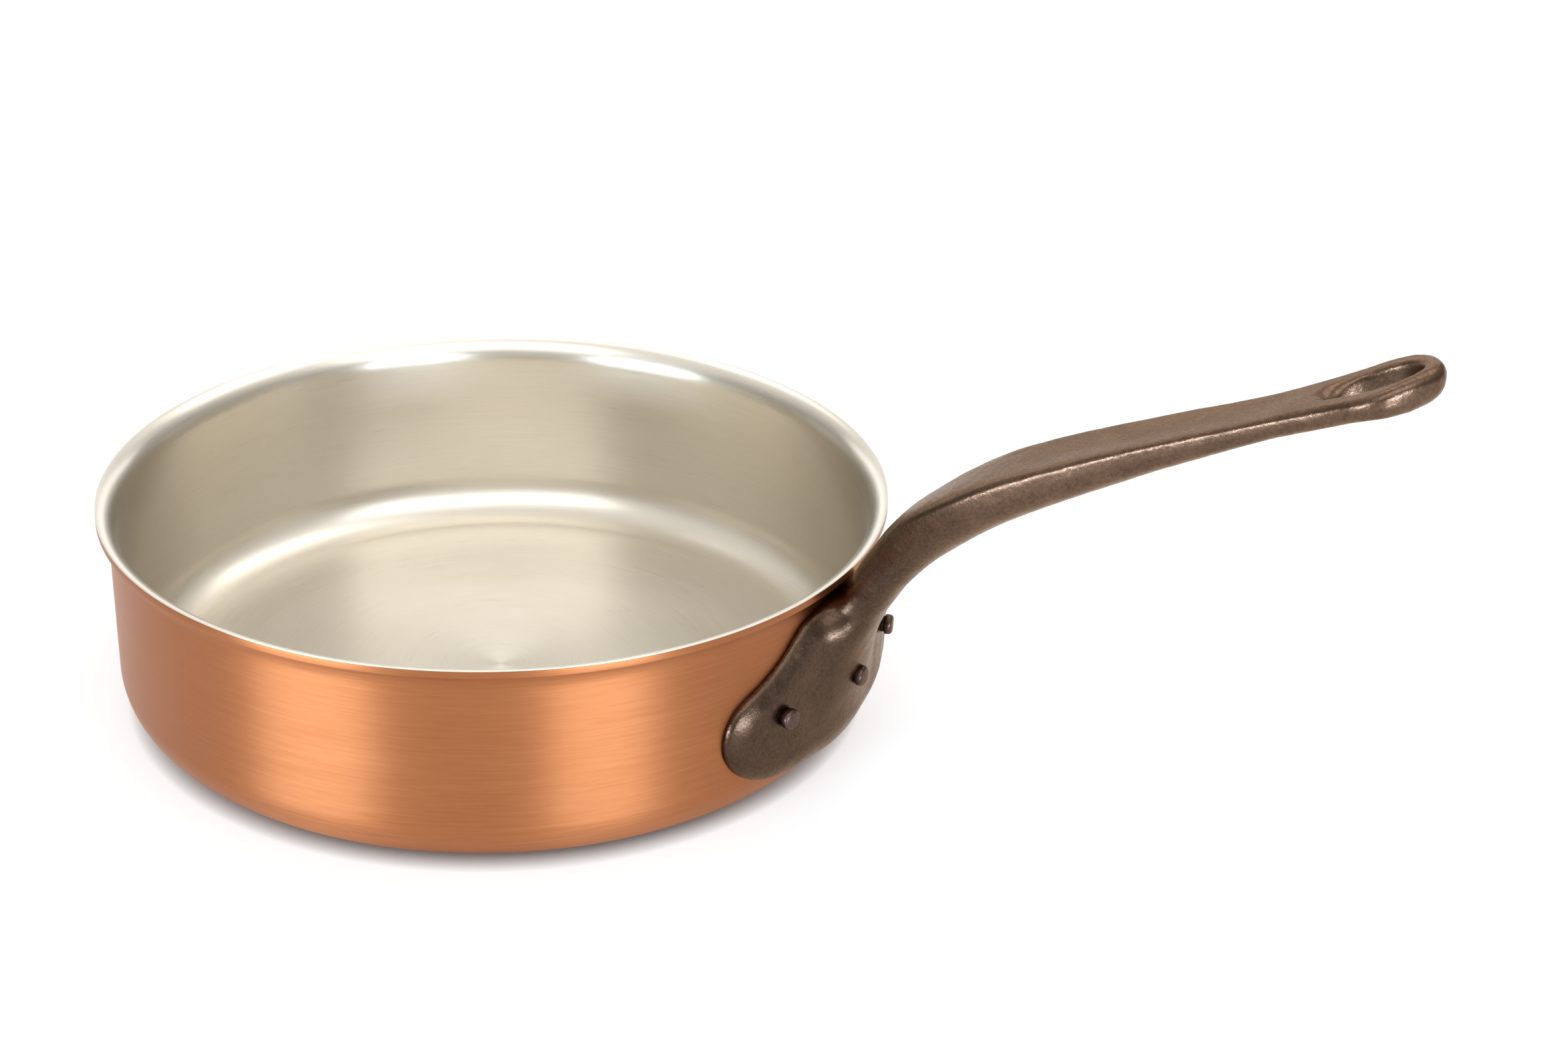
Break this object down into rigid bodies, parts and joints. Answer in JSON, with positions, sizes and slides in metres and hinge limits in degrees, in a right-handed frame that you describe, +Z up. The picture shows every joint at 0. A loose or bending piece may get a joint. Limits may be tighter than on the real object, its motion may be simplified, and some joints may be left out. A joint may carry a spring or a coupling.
{
  "type": "saucepan",
  "caption": "Shallow straight-sided copper pan with a steel lining, a flared pouring rim and a long riveted cast iron handle that ends in a hanging eye.",
  "frame": {"origin": "centre of the flat underside of the base, on the pan's own axis", "axes": "+Z up along the pan's axis, +X along the handle, away from the pan, +Y to the handle's left seen from the pan"},
  "size_m": [0.4197, 0.2522, 0.1725],
  "materials": {
    "copper": "brushed copper, fine scratches running round the pan",
    "lining": "brushed stainless steel, satin",
    "cast_iron": "brown patinated casting with a fine sand grain, satin",
    "rivet": "dark patina, satin"
  },
  "bodies": {
    "root": {"copper_shell": "copper", "steel_lining": "lining", "handle": "cast_iron", "rivet_left": "rivet", "rivet_center": "rivet", "rivet_right": "rivet"}
  },
  "joints": []
}
